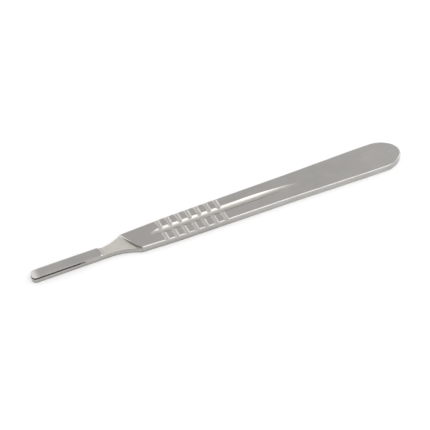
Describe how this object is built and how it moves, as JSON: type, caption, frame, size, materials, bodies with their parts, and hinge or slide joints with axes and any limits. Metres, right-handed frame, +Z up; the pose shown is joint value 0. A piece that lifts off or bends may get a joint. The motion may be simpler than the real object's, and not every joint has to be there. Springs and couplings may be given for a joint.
{
  "type": "scalpel handle",
  "caption": "Flat stainless steel scalpel handle with a rounded butt, grooved finger grip, long centre channel, slanted shoulder and a slotted tongue for a detachable blade.",
  "frame": {"origin": "middle of the footprint, on the surface that the handle lies on", "axes": "+X from the tongue's tip towards the rounded butt, +Z up through the face that carries the blade, +Y towards the side where the shoulder comes closer to the tip"},
  "size_m": [0.125, 0.0116, 0.0024],
  "materials": {
    "steel": "satin-polished stainless steel"
  },
  "bodies": {
    "root": {"handle": "steel"}
  },
  "joints": []
}
